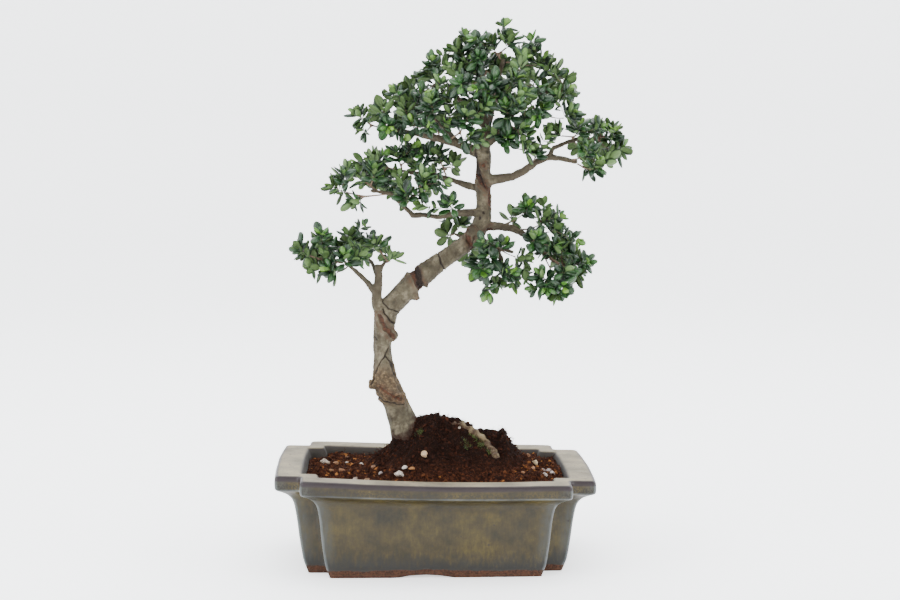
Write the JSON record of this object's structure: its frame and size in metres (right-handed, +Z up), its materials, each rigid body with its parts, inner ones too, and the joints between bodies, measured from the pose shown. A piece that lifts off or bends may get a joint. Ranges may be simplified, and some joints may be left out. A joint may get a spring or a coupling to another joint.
{
  "type": "potted bonsai tree",
  "caption": "Small evergreen bonsai with a bare curved trunk and layered leaf pads, rooted in a mound of soil in a rectangular glazed pot with set-back corners.",
  "frame": {"origin": "centre of the whole object's footprint box, on the surface that it stands on", "axes": "+X to the right along the pot's long side, +Y from the front to the back, +Z up"},
  "size_m": [0.2008, 0.13, 0.2996],
  "materials": {
    "glazed_stoneware": "satin",
    "mesh_plastic": "matte",
    "peat_soil": "matte",
    "bark": "matte",
    "leaf": "satin"
  },
  "bodies": {
    "root": {"pot": "glazed_stoneware", "drain_mesh_left": "mesh_plastic", "drain_mesh_right": "mesh_plastic", "soil": "peat_soil", "trunk": "bark", "spray_low_left_1": "leaf", "spray_low_left_2": "leaf", "spray_low_left_3": "leaf", "spray_low_left_4": "leaf", "spray_low_left_5": "leaf", "spray_mid_left_1": "leaf", "spray_mid_left_2": "leaf", "spray_mid_left_3": "leaf", "spray_mid_left_4": "leaf", "spray_mid_left_5": "leaf", "spray_mid_left_6": "leaf", "spray_mid_left_7": "leaf", "spray_mid_left_8": "leaf", "spray_crown_1": "leaf", "spray_crown_2": "leaf", "spray_crown_3": "leaf", "spray_crown_4": "leaf", "spray_crown_5": "leaf", "spray_crown_6": "leaf", "spray_crown_7": "leaf", "spray_crown_8": "leaf", "spray_crown_9": "leaf", "spray_crown_10": "leaf", "spray_crown_11": "leaf", "spray_crown_12": "leaf", "spray_crown_13": "leaf", "spray_crown_14": "leaf", "spray_crown_15": "leaf", "spray_crown_16": "leaf", "spray_crown_17": "leaf", "spray_crown_18": "leaf", "spray_crown_19": "leaf", "spray_crown_20": "leaf", "spray_crown_21": "leaf", "spray_right_1": "leaf", "spray_right_2": "leaf", "spray_right_3": "leaf", "spray_right_4": "leaf", "spray_right_5": "leaf", "spray_right_6": "leaf", "spray_right_7": "leaf", "spray_low_right_1": "leaf", "spray_low_right_2": "leaf", "spray_low_right_3": "leaf", "spray_low_right_4": "leaf", "spray_low_right_5": "leaf", "spray_low_right_6": "leaf", "spray_low_right_7": "leaf", "spray_front_1": "leaf", "spray_front_2": "leaf", "spray_front_3": "leaf", "spray_back_1": "leaf", "spray_back_2": "leaf"}
  },
  "joints": []
}
